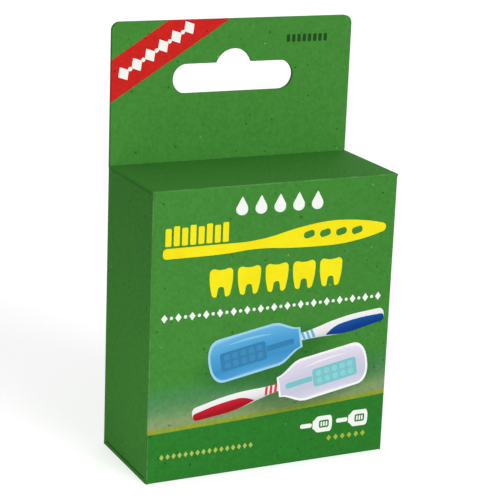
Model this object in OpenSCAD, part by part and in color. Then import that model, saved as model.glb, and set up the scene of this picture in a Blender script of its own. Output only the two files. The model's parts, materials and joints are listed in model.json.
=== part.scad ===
// Hang-tab carton that holds a pair of silicone toothbrush covers.
// Millimetres, +Z up. The origin is the middle of the carton's base; the front panel faces -Y.

/* [Covers] */
// Length of a cover from its mouth to its domed end
cover_l = 62; // [52:1:75]
// Width across the pouch of a cover
cover_w = 29.9; // [26:0.1:36]
// Depth through the pouch of a cover
cover_d = 19; // [16:0.5:24]
// Silicone wall
cover_wall = 1.4; // [1:0.1:2]
// Width of the mouth where the brush's neck comes out
mouth_w = 14; // [12:0.5:18]
// Depth of the mouth
mouth_d = 10.5; // [9:0.5:13]
// How much further the mouth reaches at the back than at the front
mouth_slant = 5.5; // [2:0.5:8]
// Length of the shoulders that widen from the mouth to the pouch
shoulder_l = 17; // [12:1:22]
// Length of the domed end
dome_l = 9; // [6:0.5:14]
// Extra thickness of the rolled lip round the mouth
lip_bead = 0.7; // [0.3:0.1:1.2]
// Width of the lip bead along the cover
lip_l = 2.4; // [1.5:0.1:4]

/* [Carton] */
// Thickness of the folding board
board_t = 0.5; // [0.35:0.05:0.7]
// Outside radius of a folded corner
crease_r = 0.9; // [0.8:0.1:1.5]
// Play beside and between the covers
side_play = 0.9; // [0.5:0.1:3]
// Play in front of the covers
front_play = 1.9; // [1:0.1:4]
// Room behind the covers for the tuck flap
tuck_room = 6.1; // [5.5:0.1:10]
// Room above the covers
head_room = 6; // [4:0.5:12]
// Play under the covers
foot_play = 0.3; // [0.2:0.05:1]
// Width of the glued side seam
seam_w = 12; // [8:0.5:16]
// Gap between the side seam's upper end and the tab's glued ply
seam_gap = 1; // [0.5:0.1:3]

/* [Hang tab] */
// Height of the tab above the carton
tab_h = 34.1; // [30:0.1:45]
// Radius of the tab's upper corners
tab_corner_r = 2; // [1:0.1:5]
// How far the tab's front ply is glued down inside the carton
tab_glue_h = 6; // [3:0.5:9]
// Width of the hanging slot
slot_w = 32; // [25:0.5:40]
// Height of the slot's straight bar
slot_h = 7.2; // [5:0.1:9]
// Distance from the tab's top edge down to the slot's bar
slot_drop = 10.5; // [8:0.1:14]
// Radius of the round bump in the middle of the slot
bump_r = 5; // [3.5:0.1:6]
// How far the bump rises above the bar
bump_rise = 3.3; // [2:0.1:4.5]

/* [Closures] */
// Length of the lid's tuck flap
tuck_l = 9; // [7:0.5:10]
// How far the tucked flap leans into the carton, in degrees
tuck_lean = 20; // [16:1:24]
// Radius of the tuck flap's corners
tuck_corner_r = 4; // [2:0.5:6]
// How far the tuck flap is set in at each side
tuck_inset = 1.5; // [1:0.5:4]
// Length of the dust flaps under the lid
dust_l = 15; // [11:0.5:17]
// Straight part of a dust flap's rear edge, before its corner is cut off
dust_straight = 11; // [8:0.5:12]
// Length of the glued flaps in the base
base_flap_l = 22; // [16:0.5:26]

/* [Clearances] */
// Gap between a crease and the edge of the flap that turns on it
crease_gap = 0.1; // [0.06:0.01:0.2]
// Gap between the lid and the dust flaps that it lies on
leaf_gap = 0.2; // [0.15:0.05:0.5]
// Gap between the tuck flap's crease and the tab
tuck_gap = 0.35; // [0.3:0.05:0.6]
// How far back the dust flaps start behind the lid's crease
dust_lead = 1; // [0.8:0.1:2]
// How far the dust flaps stop short of the tuck flap's crease
dust_gap = 1.4; // [1.2:0.1:2]
// Amount by which loose edges stop short of the carton's outside
edge_inset = 0.2; // [0.1:0.05:0.4]

/* [Hidden] */
$fn = 48;
eps = 0.01;

// Levels and outside sizes of the carton, worked out from what it holds
base_plies = 3;
floor_z = base_plies * board_t;
side_flap_z = (base_plies - 1) * board_t;
cover_z = floor_z + foot_play;
lid_stack = 2 * board_t + leaf_gap;
carton_w = 2 * cover_w + 3 * side_play + 2 * board_t;
carton_d = cover_d + front_play + tuck_room + 2 * board_t;
carton_h = cover_z + cover_l + head_room + lid_stack;
total_h = carton_h + tab_h;
half_w = carton_w / 2;
half_d = carton_d / 2;

// Creases that turn: the axis lies in the middle of the board
leaf_start = board_t / 2 + crease_gap;
lid_axis_y = -half_d + board_t / 2;
lid_axis_z = carton_h - board_t / 2;
dust_axis_x = half_w - board_t / 2;
dust_axis_z = carton_h - lid_stack + board_t / 2;
wall_top_z = dust_axis_z;
tab_face_y = half_d - 2 * board_t;
tuck_axis_y = tab_face_y - tuck_gap - board_t / 2;
tuck_start = (board_t / 2 * (1 + sin(tuck_lean)) + crease_gap) / cos(tuck_lean);
dust_rear_y = tuck_axis_y - board_t / 2 - dust_gap;

// Where the covers stand
cover_x = (cover_w + side_play) / 2;
cover_y = -half_d + board_t + front_play + cover_d / 2;

// Shape of a cover
corner_power = 3.2;
dome_power = 2.3;
ring_points = 40;
lip_rings = 4;
shoulder_rings = 7;
dome_rings = 6;
dome_turn = 88;

carton_green = [0.24, 0.54, 0.21];
board_grey = [0.78, 0.76, 0.70];
silicone_blue = [0.27, 0.60, 0.80];
silicone_clear = [0.90, 0.88, 0.94];

// Placing

// Stands a profile drawn in X and Z between two places along Y
module along_y(y0, y1) {
  translate([0, y1, 0]) rotate([90, 0, 0]) linear_extrude(y1 - y0) children();
}

// Stands a profile drawn in Y and Z between two places along X
module along_x(x0, x1) {
  translate([x0, 0, 0]) rotate([90, 0, 90]) linear_extrude(x1 - x0) children();
}

// A quarter of a folded crease, in the quadrant that starts at the given angle
module crease_quarter(start_angle) {
  rotate(start_angle) intersection() {
    difference() {
      circle(crease_r);
      circle(crease_r - board_t);
    }
    square(crease_r);
  }
}

// Round crease on the top edge of a wall, on which a flap turns
module crease_bead(length) {
  rotate([0, 90, 0]) cylinder(d = board_t, h = length, center = true);
}

// Hang tab

module slot_outline() {
  bar_top = total_h - slot_drop;
  end_r = slot_h / 2;
  translate([-slot_w / 2 + end_r, bar_top - slot_h]) square([slot_w - slot_h, slot_h]);
  for (side = [-1, 1]) translate([side * (slot_w / 2 - end_r), bar_top - end_r]) circle(end_r);
  translate([0, bar_top + bump_rise - bump_r]) circle(bump_r);
}

// One ply of the tab, from a chosen level up to the tab's rounded corners, with the slot cut out
module tab_ply_outline(foot_z) {
  corner_x = half_w - tab_corner_r;
  difference() {
    union() {
      translate([-half_w, foot_z]) square([carton_w, total_h - tab_corner_r - foot_z]);
      translate([-corner_x, foot_z]) square([2 * corner_x, total_h - foot_z]);
      for (side = [-1, 1])
        translate([side * corner_x, total_h - tab_corner_r]) circle(tab_corner_r);
    }
    slot_outline();
  }
}

module hang_tab_front_ply() {
  foot_z = carton_h - tab_glue_h;
  inner_w = carton_w - 2 * (crease_r + board_t);
  color(carton_green) difference() {
    along_y(tab_face_y, half_d - board_t) tab_ply_outline(foot_z);
    // Inside the carton the ply is narrower, so that it clears the side panels
    translate([0, half_d - 1.5 * board_t, foot_z + tab_glue_h / 2 - eps]) difference() {
      cube([carton_w + 2 * eps, board_t + 2 * eps, tab_glue_h + 2 * eps], center = true);
      cube([inner_w, board_t + 4 * eps, tab_glue_h + 4 * eps], center = true);
    }
  }
}

// Walls

module front_panel() {
  corner_x = half_w - crease_r;
  color(carton_green) {
    translate([-corner_x, -half_d, crease_r])
      cube([2 * corner_x, board_t, lid_axis_z - crease_r]);
    translate([0, lid_axis_y, lid_axis_z]) crease_bead(2 * corner_x);
    translate([0, 0, side_flap_z]) linear_extrude(wall_top_z - side_flap_z) {
      translate([corner_x, -half_d + crease_r]) crease_quarter(270);
      translate([-corner_x, -half_d + crease_r]) crease_quarter(180);
    }
  }
}

// A side wall between its two folded corners, with the dust flap's crease along its top
module side_panel(side, rear_y) {
  front_y = -half_d + crease_r;
  length = rear_y - front_y;
  base_z = side_flap_z + crease_r;
  color(carton_green) {
    translate([side * dust_axis_x - board_t / 2, front_y, base_z])
      cube([board_t, length, wall_top_z - base_z]);
    translate([side * dust_axis_x, front_y + length / 2, dust_axis_z])
      rotate([0, 0, 90]) crease_bead(length);
  }
}

module left_side_panel() {
  side_panel(-1, half_d - crease_r);
}

module right_side_panel() {
  side_panel(1, half_d - board_t - crease_r);
}

// Back wall in one piece with the tab's rear ply; its left edge folds into the left side
module back_panel() {
  corner_x = half_w - crease_r;
  foot_z = board_t + crease_r;
  color(carton_green) {
    along_y(half_d - board_t, half_d) {
      tab_ply_outline(wall_top_z);
      translate([-corner_x, foot_z]) square([corner_x + half_w, carton_h - foot_z]);
    }
    translate([-corner_x, half_d - crease_r, floor_z])
      linear_extrude(wall_top_z - floor_z) crease_quarter(90);
  }
}

// Narrow flap of the right side, folded behind the back wall and glued to it
module glue_flap() {
  corner_y = half_d - board_t - crease_r;
  foot_z = floor_z + crease_r;
  top_z = carton_h - tab_glue_h - seam_gap;
  color(board_grey) translate([0, 0, foot_z]) linear_extrude(top_z - foot_z) {
    translate([half_w - crease_r, corner_y]) crease_quarter(0);
    translate([half_w - seam_w, half_d - 2 * board_t]) square([seam_w - crease_r, board_t]);
  }
}

// Base

// Base flap that is folded up from the front or the back wall
module base_leaf(ply, front, reach) {
  level = ply * board_t;
  inner_x = half_w - edge_inset;
  mirror([0, front ? 0 : 1, 0]) along_x(-inner_x, inner_x) {
    translate([-half_d + crease_r, level]) square([reach - crease_r, board_t]);
    translate([-half_d + crease_r, level + crease_r]) crease_quarter(180);
  }
}

module base_outer_panel() {
  color(carton_green) base_leaf(0, true, carton_d - edge_inset);
}

module base_inner_panel() {
  color(board_grey) base_leaf(1, false, carton_d - board_t - edge_inset);
}

// Innermost base flap, folded in from a side wall
module base_side_flap(side) {
  outer_x = half_w - crease_r;
  front_y = -half_d + crease_r;
  rear_y = half_d - board_t - crease_r;
  mirror([side > 0 ? 1 : 0, 0, 0]) along_y(front_y, rear_y) {
    translate([-outer_x, side_flap_z]) square([base_flap_l, board_t]);
    translate([-outer_x, side_flap_z + crease_r]) crease_quarter(180);
  }
}

module base_left_flap() {
  color(board_grey) base_side_flap(-1);
}

module base_right_flap() {
  color(board_grey) base_side_flap(1);
}

// Lid

module lid_panel() {
  width = carton_w - 2 * edge_inset;
  start_y = lid_axis_y + leaf_start;
  color(carton_green) {
    translate([-width / 2, start_y, carton_h - board_t])
      cube([width, tuck_axis_y - start_y, board_t]);
    translate([0, tuck_axis_y, lid_axis_z]) crease_bead(width);
  }
}

// Outline of the tuck flap, hanging down from its crease
module tuck_outline() {
  half = half_w - tuck_inset;
  translate([-half, -tuck_l + tuck_corner_r])
    square([2 * half, tuck_l - tuck_corner_r - tuck_start]);
  translate([-half + tuck_corner_r, -tuck_l])
    square([2 * (half - tuck_corner_r), tuck_l - tuck_start]);
  for (side = [-1, 1])
    translate([side * (half - tuck_corner_r), -tuck_l + tuck_corner_r]) circle(tuck_corner_r);
}

module lid_tuck_flap() {
  color(carton_green) translate([0, tuck_axis_y, lid_axis_z]) rotate([-tuck_lean, 0, 0])
    along_y(-board_t / 2, board_t / 2) tuck_outline();
}

// Dust flap, drawn for the left side. Its front corner is cut at 45 degrees so that the lid
// always stays ahead of it, and its rear corner is cut to pass the tuck flap.
module dust_flap(side) {
  front = lid_axis_y + dust_lead;
  rear = dust_rear_y;
  start = -dust_axis_x + leaf_start;
  tip = -dust_axis_x + dust_l;
  mirror([side > 0 ? 1 : 0, 0, 0]) translate([0, 0, dust_axis_z - board_t / 2])
    linear_extrude(board_t) polygon([
      [start, front + leaf_start], [tip, front + dust_l],
      [tip, rear - (dust_l - dust_straight)], [-dust_axis_x + dust_straight, rear], [start, rear]]);
}

module left_dust_flap() {
  color(board_grey) dust_flap(-1);
}

module right_dust_flap() {
  color(board_grey) dust_flap(1);
}

// Silicone covers

function ease(u) = u * u * (3 - 2 * u);
function signed_power(v, p) = sign(v) * pow(abs(v), p);

// The lip lies flush with the cover's straight back, so the shoulder swells out at the front
mouth_shift = (cover_d - mouth_d) / 2 - lip_bead;

// Station along the cover: [height, half width, half depth, slant, shift towards the back],
// for a surface set in by "skin"
function shoulder_station(u, skin) =
  let (grow = ease(u))
  [u * shoulder_l,
   mouth_w / 2 + grow * (cover_w - mouth_w) / 2 - skin,
   mouth_d / 2 + grow * (cover_d - mouth_d) / 2 - skin,
   mouth_slant / mouth_d * (1 - u) * (1 - u),
   (1 - grow) * mouth_shift];

function dome_station(i, skin) =
  let (turn = dome_turn * i / dome_rings, shrink = pow(cos(turn), 2 / dome_power))
  [cover_l - dome_l + (dome_l - skin) * pow(sin(turn), 2 / dome_power),
   (cover_w / 2 - skin) * shrink, (cover_d / 2 - skin) * shrink, 0, 0];

// The rolled lip swells out of the shoulder's first few millimetres
function lip_station(u) =
  let (swell = lip_bead * sin(180 * u))
  shoulder_station(u * lip_l / shoulder_l, 0) + [0, swell, swell, 0, 0];

function outer_stations() = concat(
  [for (i = [0:lip_rings]) lip_station(i / lip_rings)],
  [for (i = [2:shoulder_rings]) shoulder_station(i / shoulder_rings, 0)],
  [for (i = [0:dome_rings]) dome_station(i, 0)]);

function inner_stations() = concat(
  [for (i = [0:shoulder_rings]) shoulder_station(i / shoulder_rings, cover_wall)],
  [for (i = [0:dome_rings]) dome_station(i, cover_wall)]);

function station_ring(s) =
  [for (k = [0:ring_points - 1])
    let (a = 360 * k / ring_points,
      x = s[1] * signed_power(cos(a), 2 / corner_power),
      y = s[2] * signed_power(sin(a), 2 / corner_power))
    [x, y + s[4], mouth_slant / 2 + s[0] * (1 - mouth_slant / 2 / cover_l) - s[3] * y]];

function flat(rings) = [for (r = rings) for (p = r) p];

// Two triangles for each step round the band between ring a and the ring after it
function band(a, b) =
  [for (k = [0:ring_points - 1])
    let (n = (k + 1) % ring_points, p = a * ring_points, q = b * ring_points)
    each [[p + k, q + k, q + n], [p + k, q + n, p + n]]];

function fan(a, tip, outward) =
  [for (k = [0:ring_points - 1])
    let (n = (k + 1) % ring_points, p = a * ring_points)
    outward ? [p + k, tip, p + n] : [p + k, p + n, tip]];

// Open pouch standing on its mouth: outer skin up to the dome, inner skin back down to the lip
module cover_shell() {
  outer = outer_stations();
  inner = inner_stations();
  count = len(outer);
  rings = concat(outer, [for (i = [len(inner) - 1:-1:0]) inner[i]]);
  points = flat([for (s = rings) station_ring(s)]);
  outer_tip = len(points);
  last = len(rings) - 1;
  polyhedron(
    concat(points, [[0, 0, cover_l], [0, 0, cover_l - cover_wall]]),
    concat(
      [for (i = [0:count - 2]) each band(i, i + 1)],
      fan(count - 1, outer_tip, true),
      fan(count, outer_tip + 1, false),
      [for (i = [count:last - 1]) each band(i, i + 1)],
      band(last, 0)));
}

module blue_cover() {
  color(silicone_blue) translate([-cover_x, cover_y, cover_z]) cover_shell();
}

// Packed head to tail with the other one, so its mouth is up
module clear_cover() {
  color(silicone_clear) translate([cover_x, cover_y, cover_z + cover_l])
    rotate([0, 180, 0]) cover_shell();
}

front_panel();
left_side_panel();
right_side_panel();
back_panel();
glue_flap();
hang_tab_front_ply();
base_outer_panel();
base_inner_panel();
base_left_flap();
base_right_flap();
lid_panel();
lid_tuck_flap();
left_dust_flap();
right_dust_flap();
blue_cover();
clear_cover();
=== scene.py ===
import json
import math

import bmesh
import bpy
from mathutils import Matrix, Vector


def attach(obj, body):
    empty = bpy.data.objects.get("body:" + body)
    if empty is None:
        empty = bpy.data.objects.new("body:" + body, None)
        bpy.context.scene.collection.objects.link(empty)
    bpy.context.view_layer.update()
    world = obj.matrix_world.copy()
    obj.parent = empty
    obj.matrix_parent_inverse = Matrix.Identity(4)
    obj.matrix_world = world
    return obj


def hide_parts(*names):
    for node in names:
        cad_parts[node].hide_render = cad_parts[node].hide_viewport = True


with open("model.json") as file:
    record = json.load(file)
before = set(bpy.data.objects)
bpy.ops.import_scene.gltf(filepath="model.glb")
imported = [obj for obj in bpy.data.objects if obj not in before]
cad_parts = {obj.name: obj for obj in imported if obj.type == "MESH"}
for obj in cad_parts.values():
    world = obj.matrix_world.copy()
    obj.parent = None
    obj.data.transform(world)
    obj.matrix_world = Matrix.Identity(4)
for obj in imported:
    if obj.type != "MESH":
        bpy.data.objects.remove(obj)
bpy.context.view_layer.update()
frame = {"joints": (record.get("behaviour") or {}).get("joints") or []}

# Camera. The photograph's own view, solved on the corners of the carton: a long lens from the
# front left, a little above, with the slight roll that the picture has.
LENS = 126.37
CAMERA_PLACE = (-0.180345, -0.366091, 0.166664)
VIEW_TURN = math.radians(-26.21)
VIEW_LIFT = math.radians(15.834)
VIEW_ROLL = math.radians(2.310)
lens = bpy.data.cameras.new("camera")
lens.sensor_width = 36
lens.lens = LENS
camera = bpy.data.objects.new("camera", lens)
camera.matrix_world = (
    Matrix.Translation(CAMERA_PLACE)
    @ Matrix.Rotation(VIEW_TURN, 4, "Z")
    @ Matrix.Rotation(math.pi / 2 - VIEW_LIFT, 4, "X")
    @ Matrix.Rotation(VIEW_ROLL, 4, "Z")
)
bpy.context.scene.collection.objects.link(camera)
bpy.context.scene.camera = camera

# Folding boxboard, half a millimetre thick. Its outer side is offset printed and has a matt
# dispersion varnish: an even green with fine mottle, and small flecks where the ink took the
# recycled fibres unevenly.
MM = 0.001
BOARD = 0.5
PRINT_GREEN = "#478D3A"
FIBRE_W = 0.25
FLECK_COVER = 0.75
FRONT_DEPTH = 13.6


def linear(code):
    """sRGB hex to the linear colour that a shader takes."""
    channels = [int(code[i : i + 2], 16) / 255 for i in (1, 3, 5)]
    return tuple(c / 12.92 if c <= 0.04045 else ((c + 0.055) / 1.055) ** 2.4 for c in channels) + (1,)


def node(tree, kind, inputs=None, stops=(), **settings):
    """Adds a node with its settings and links, and returns its outputs. An input holds a value, a
    hex colour or another node's output; stops are the positions and colours of a colour ramp.
    Inputs that share a name go by their place: Math takes 0, 1 and 2, MapRange takes the value, the
    range that it comes from and the range that it goes to as 0 to 4, and a colour Mix takes its
    share as 0 and its colours as 6 and 7."""
    made = tree.nodes.new("ShaderNode" + kind)
    for name, value in settings.items():
        setattr(made, name, value)
    for key, value in (inputs or {}).items():
        if isinstance(value, bpy.types.NodeSocket):
            tree.links.new(value, made.inputs[key])
        else:
            made.inputs[key].default_value = linear(value) if isinstance(value, str) else value
    for _ in stops[2:]:
        made.color_ramp.elements.new(0.5)
    for stop, (position, code) in zip(made.color_ramp.elements if stops else (), stops):
        stop.position = position
        stop.color = linear(code)
    return made.outputs


def new_material(name):
    """Node material with nothing in it yet, and its tree."""
    material = bpy.data.materials.new(name)
    material.use_nodes = True
    material.node_tree.nodes.clear()
    return material, material.node_tree


def board_fibres(tree, place, height):
    """Faint relief of the pressed fibres, height deep, drawn coarser than life so that it shows."""
    grain = node(
        tree, "TexNoise", {"Vector": place, "Scale": 1 / (FIBRE_W * MM), "Detail": 4.0, "Roughness": 0.6}
    )
    return node(tree, "Bump", {"Strength": 0.5, "Distance": height, "Height": grain["Fac"]})["Normal"]


def flecked(tree, place, ink, fleck, cell, share, largest, blend="MIX"):
    """Scatters soft-edged flecks over the ink, up to largest mm in radius, in a share of the cells
    of a grid of cell mm."""
    spots = node(tree, "TexVoronoi", {"Vector": place, "Scale": 1 / (cell * MM), "Randomness": 1.0})
    lot = node(tree, "TexWhiteNoise", {"Vector": spots["Position"]})["Value"]
    radius = node(tree, "MapRange", {0: lot, 1: 1 - share, 2: 1.0, 3: 0.0, 4: largest / cell})[0]
    inside = node(tree, "Math", {0: radius, 1: spots["Distance"]}, operation="SUBTRACT")[0]
    mask = node(tree, "MapRange", {0: inside, 1: -0.02, 2: 0.05, 3: 0.0, 4: FLECK_COVER})[0]
    return node(tree, "Mix", {0: mask, 6: ink, 7: fleck}, data_type="RGBA", blend_type=blend)[2]


printed, board_tree = new_material("offset_printed_boxboard")
board_place = node(board_tree, "TexCoord")["Object"]
x_axis, y_axis, z_axis = node(board_tree, "SeparateXYZ", {"Vector": board_place})
on_front = node(board_tree, "Math", {0: y_axis, 1: -FRONT_DEPTH * MM}, operation="LESS_THAN")[0]

# Front print of the board. A curved ochre rule crosses it 14 mm up, over a deeper green foot;
# above the rule a pale field fades back into the green. The front is painted darker towards the right,
# painted shade where the light falls off.
FOOT_GREEN = "#307F2F"
# Painted shade: the green that darkens the front towards the right.
RIGHT_SHADE_GREEN = "#1E5A1C"
RULE_OCHRE = "#95A532"
RULE_Z = 14.13
RULE_SLOPE = 0.0431
RULE_BEND = 0.21
RULE_UNDER = 0.5
RULE_FEATHER = 0.1
FIELD_TOP = 15
FIELD_FULL = 8
FIELD_END = 14
FIELD_TONES = [
    (0.0, RULE_OCHRE),
    (0.4, RULE_OCHRE),
    (0.6, "#8CA16E"),
    (2.5, "#87A06C"),
    (4.2, "#6B9863"),
    (6.2, "#5A8F5A"),
    (8.2, "#4D8D54"),
    (11, "#488F45"),
]
# Painted shade: how far the front darkens towards the right, and over what reach.
RIGHT_SHADE_SHARE = 0.09
RIGHT_SHADE_REACH = 32
rule_height = node(
    board_tree, "Math", {0: x_axis, 1: RULE_BEND, 2: RULE_SLOPE}, operation="MULTIPLY_ADD"
)[0]
rule_height = node(
    board_tree, "Math", {0: x_axis, 1: rule_height, 2: RULE_Z * MM}, operation="MULTIPLY_ADD"
)[0]
above_rule = node(board_tree, "Math", {0: z_axis, 1: rule_height}, operation="SUBTRACT")[0]
field_place = node(board_tree, "MapRange", {0: above_rule, 1: 0.0, 2: FIELD_TOP * MM})[0]
field_stops = [(up / FIELD_TOP, code) for up, code in FIELD_TONES]
field = node(board_tree, "ValToRGB", {"Fac": field_place}, field_stops)["Color"]
rule_foot = (-RULE_UNDER * MM, -(RULE_UNDER + RULE_FEATHER) * MM)
below = node(board_tree, "MapRange", {0: above_rule, 1: rule_foot[0], 2: rule_foot[1]})[0]
field = node(board_tree, "Mix", {0: below, 6: field, 7: FOOT_GREEN}, data_type="RGBA")[2]
field_share = node(
    board_tree,
    "MapRange",
    {0: above_rule, 1: FIELD_END * MM, 2: FIELD_FULL * MM},
    interpolation_type="SMOOTHSTEP",
)[0]
field_share = node(board_tree, "Math", {0: field_share, 1: on_front}, operation="MULTIPLY")[0]
board_ink = node(board_tree, "Mix", {0: field_share, 6: PRINT_GREEN, 7: field}, data_type="RGBA")[2]
# Painted shade: the front is darkened towards the right, where the light falls off.
right_shade = node(
    board_tree,
    "MapRange",
    {0: x_axis, 1: -RIGHT_SHADE_REACH * MM, 2: RIGHT_SHADE_REACH * MM, 3: 0.0, 4: RIGHT_SHADE_SHARE},
)[0]
right_shade = node(board_tree, "Math", {0: right_shade, 1: on_front}, operation="MULTIPLY")[0]
board_ink = node(board_tree, "Mix", {0: right_shade, 6: board_ink, 7: RIGHT_SHADE_GREEN}, data_type="RGBA")[2]

# Red band, printed across the tab's upper left corner at 32 degrees. Its middle line would meet
# the carton's middle plane just above the tab; the ink stops short of the rear ply's back.
BAND_RED = "#D22724"
BAND_TURN = 32.1
BAND_MEETS = 111.04
BAND_HALF = 5.05
BAND_REAR = 13.9
BAND_OVER = 80
band_slope = math.tan(math.radians(BAND_TURN))
band_line = node(
    board_tree, "Math", {0: x_axis, 1: -band_slope, 2: -BAND_MEETS * MM}, operation="MULTIPLY_ADD"
)[0]
band_line = node(board_tree, "Math", {0: z_axis, 1: band_line}, operation="ADD")[0]
band_reach = node(board_tree, "Math", {0: band_line}, operation="ABSOLUTE")[0]
on_band = node(board_tree, "Math", {0: band_reach, 1: BAND_HALF * MM}, operation="LESS_THAN")[0]
off_back = node(board_tree, "Math", {0: y_axis, 1: BAND_REAR * MM}, operation="LESS_THAN")[0]
on_tab = node(board_tree, "Math", {0: z_axis, 1: BAND_OVER * MM}, operation="GREATER_THAN")[0]
on_band = node(board_tree, "Math", {0: on_band, 1: off_back}, operation="MULTIPLY")[0]
on_band = node(board_tree, "Math", {0: on_band, 1: on_tab}, operation="MULTIPLY")[0]
board_ink = node(board_tree, "Mix", {0: on_band, 6: board_ink, 7: BAND_RED}, data_type="RGBA")[2]

# Uncoated inner side. Recycled stock, clouded from grey to pale in patches of about 3 mm, with
# small bits of bark and old print in it.
STOCK_CLOUD = 3
STOCK_TONES = [(0.3, "#C4BFB1"), (0.55, "#D1CDC0"), (0.75, "#DCD8CD")]
plain, tree = new_material("uncoated_boxboard")
place = node(tree, "TexCoord")["Object"]
cloud = node(
    tree, "TexNoise", {"Vector": place, "Scale": 1 / (STOCK_CLOUD * MM), "Detail": 6.0, "Roughness": 0.7}
)
stock = node(tree, "ValToRGB", {"Fac": cloud["Fac"]}, STOCK_TONES)["Color"]
stock = flecked(tree, place, stock, fleck="#8F8878", cell=1.1, share=0.4, largest=0.12)
surface = node(
    tree,
    "BsdfPrincipled",
    {
        "Base Color": stock,
        "Roughness": 0.86,
        "Specular IOR Level": 0.15,
        "Normal": board_fibres(tree, place, 0.04 * MM),
    },
)
node(tree, "OutputMaterial", {"Surface": surface[0]})

# Carton walls. One die-cut blank, creased and folded round: the back with the tab's rear ply, the
# left side, the front, the right side and the side seam, which is glued inside the back. The creases
# are relieved at their ends, and the walls stop short of the flaps that fold at top and bottom.
HAIR = 0.001
LONG_EDGE = 5
HALF_W = 31.75
HALF_D = 14.0
CREASE_R = 0.6
RELIEF = CREASE_R + 0.02
FOOT_GAP = CREASE_R + 0.05
CARTON_TOP = 71.0
SIDE_TOP = 70.3
EAR_Z = 70.34
EAR_INSET = 0.12
CORNER_LIFT = 0.1
TAB_TOP = 105.1
TAB_CORNER = 2.0
SEAM_W = 12.0
SEAM_FOOT = 2.4
SEAM_TOP = 64.0
SEAM_SLANT = 1.0
BEAD_R = 0.24
SIDE_FLAP_HALF = 12.5
FIT = 0.03
SEAM_GAP = 0.08
SEAM_NOTCH = 0.2


def add_outline(mesh, corners, lying=False):
    """One face with the given corners (across, up or back, radius), standing or lying."""
    points = [mesh.verts.new((a, b, 0) if lying else (a, 0, b)) for a, b, _ in corners]
    face = mesh.faces.new(points)
    for point, (_, _, radius) in zip(points, corners):
        if radius:
            bmesh.ops.bevel(
                mesh,
                geom=[point],
                offset=radius,
                segments=8,
                profile=0.5,
                affect="VERTICES",
                material=-1,
                clamp_overlap=True,
            )
    return face


def cut_board(corners, depth, lying=False):
    """Piece of board in the given outline; depth runs back from a standing one, up from a lying one."""
    mesh = bmesh.new()
    add_outline(mesh, corners, lying)
    pushed = bmesh.ops.extrude_face_region(mesh, geom=mesh.faces[:])["geom"]
    moved = [g for g in pushed if isinstance(g, bmesh.types.BMVert)]
    bmesh.ops.translate(mesh, vec=(0, 0, depth) if lying else (0, depth, 0), verts=moved)
    bmesh.ops.recalc_face_normals(mesh, faces=mesh.faces[:])
    return mesh


def round_edges(mesh, chosen, radius):
    """Rounds the long edges where the board turns on a crease."""
    edges = [e for e in mesh.edges if e.calc_length() > LONG_EDGE and all(chosen(v.co) for v in e.verts)]
    bmesh.ops.bevel(
        mesh, geom=edges, offset=radius, segments=4, profile=0.5, affect="EDGES", material=-1
    )


def finish_piece(name, mesh, materials, body, replaced=(), smooth=40):
    """Turns a bmesh in millimetres into a piece that rides on its CAD body."""
    bmesh.ops.scale(mesh, vec=(MM, MM, MM), verts=mesh.verts[:])
    data = bpy.data.meshes.new(name)
    mesh.to_mesh(data)
    mesh.free()
    for material in materials:
        data.materials.append(material)
    piece = bpy.data.objects.new(name, data)
    bpy.context.scene.collection.objects.link(piece)
    data.polygons.foreach_set("use_smooth", [True] * len(data.polygons))
    data.set_sharp_from_angle(angle=math.radians(smooth))
    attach(piece, body)
    if replaced:
        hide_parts(*replaced)
    return piece


def leave_plain(mesh, is_inner):
    """The board is printed on its outer face and edges; its inner face is left plain."""
    for face in mesh.faces:
        face.material_index = 1 if is_inner(face) else 0


def fold(mesh, folds):
    """Folds flat board a quarter turn at each (crease point, axis, points beyond), last crease
    first, and rounds the folds; the sheet then gets its thickness on the inside."""
    creases = [e for e in mesh.edges if len(e.link_faces) == 2]
    for point, axis, beyond in reversed(folds):
        bmesh.ops.rotate(mesh, cent=point, matrix=Matrix.Rotation(math.pi / 2, 3, axis), verts=beyond)
    bmesh.ops.bevel(
        mesh, geom=creases, offset=CREASE_R, segments=6, profile=0.5, affect="EDGES", material=-1
    )
    bmesh.ops.solidify(mesh, geom=mesh.faces[:], thickness=BOARD)
    bmesh.ops.recalc_face_normals(mesh, faces=mesh.faces[:])


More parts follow.
